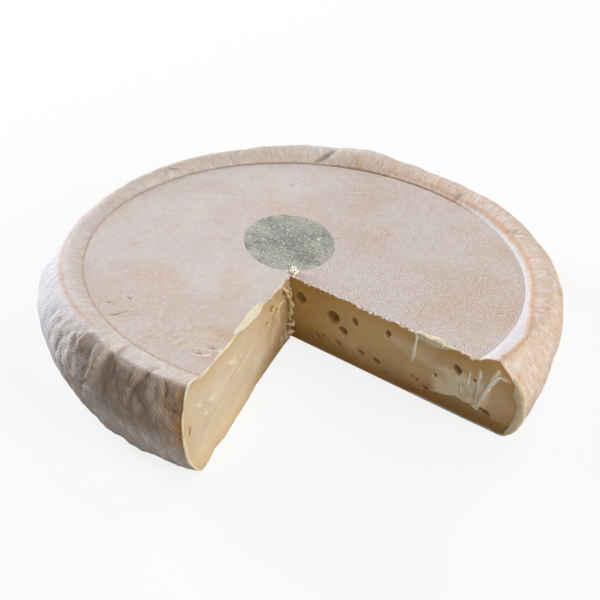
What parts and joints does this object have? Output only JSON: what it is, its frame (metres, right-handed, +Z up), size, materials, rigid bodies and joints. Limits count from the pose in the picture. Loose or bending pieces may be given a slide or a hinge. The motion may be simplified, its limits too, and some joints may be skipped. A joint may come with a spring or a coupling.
{
  "type": "cut washed-rind cheese wheel",
  "caption": "Flat washed-rind soft cheese wheel with a wedge cut out, pressed round top with a rim bead, folded heel, eyes in the cut faces and an oval casein mark.",
  "frame": {"origin": "on the wheel's axis, at the base it rests on", "axes": "+Z up along the wheel's axis; +X runs along the first cut face, from where the cuts meet towards the rim; the wedge is missing between +X and 76.9 degrees clockwise of it, seen from above"},
  "size_m": [0.1401, 0.1377, 0.0266],
  "materials": {
    "cheese": "matt, cloth-textured washed rind, cut faces of smooth cream paste",
    "casein_disc": "matt grey-green mottled casein"
  },
  "bodies": {
    "root": {"cheese": "cheese", "casein_disc": "casein_disc"}
  },
  "joints": []
}
